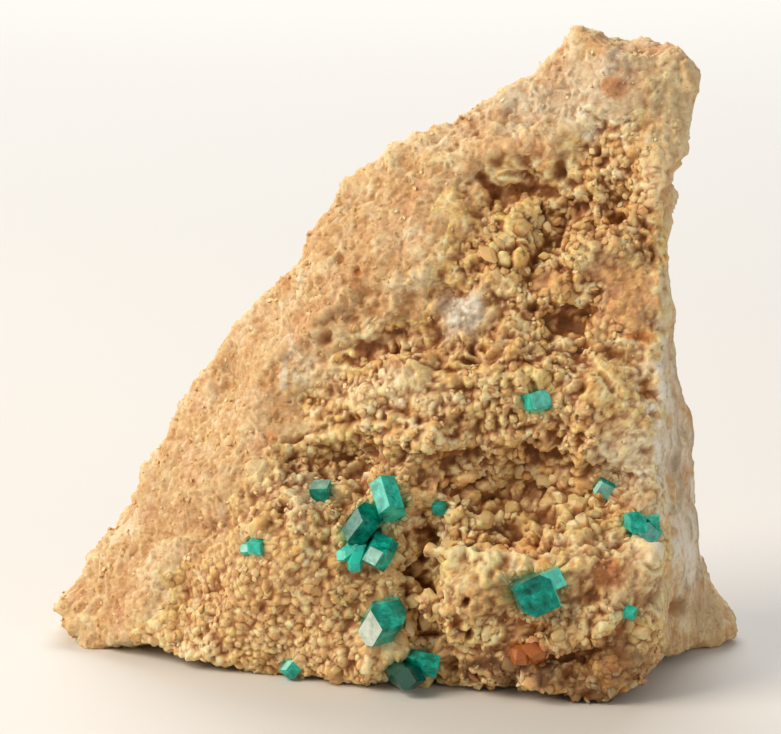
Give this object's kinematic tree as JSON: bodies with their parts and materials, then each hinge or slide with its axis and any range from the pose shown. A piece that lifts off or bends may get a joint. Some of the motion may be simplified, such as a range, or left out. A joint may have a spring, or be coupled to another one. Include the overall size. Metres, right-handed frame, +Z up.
{
  "type": "dioptase specimen",
  "caption": "Emerald-green dioptase crystals on a broken wedge of buff limestone crusted with pale calcite, standing on its own rough feet.",
  "frame": {"origin": "middle of the specimen's box, at the level that its feet stand on", "axes": "+Z up, +X to the right along the long base, -Y the crusted front with the crystals"},
  "size_m": [0.0616, 0.0308, 0.0572],
  "materials": {
    "limestone_matrix": "rough buff limestone with a sugary crust of pale calcite",
    "dioptase": "glassy translucent emerald to bluish green crystal faces"
  },
  "bodies": {
    "root": {"matrix": "limestone_matrix", "dioptase_upper": "dioptase", "dioptase_left": "dioptase", "dioptase_centre_cluster": "dioptase", "dioptase_small_centre": "dioptase", "dioptase_far_left_cluster": "dioptase", "dioptase_lower": "dioptase", "dioptase_foot_pair": "dioptase", "dioptase_base_left": "dioptase", "dioptase_right_large": "dioptase", "dioptase_right_small": "dioptase", "dioptase_right_cluster": "dioptase", "dioptase_right_tiny": "dioptase"}
  },
  "joints": []
}
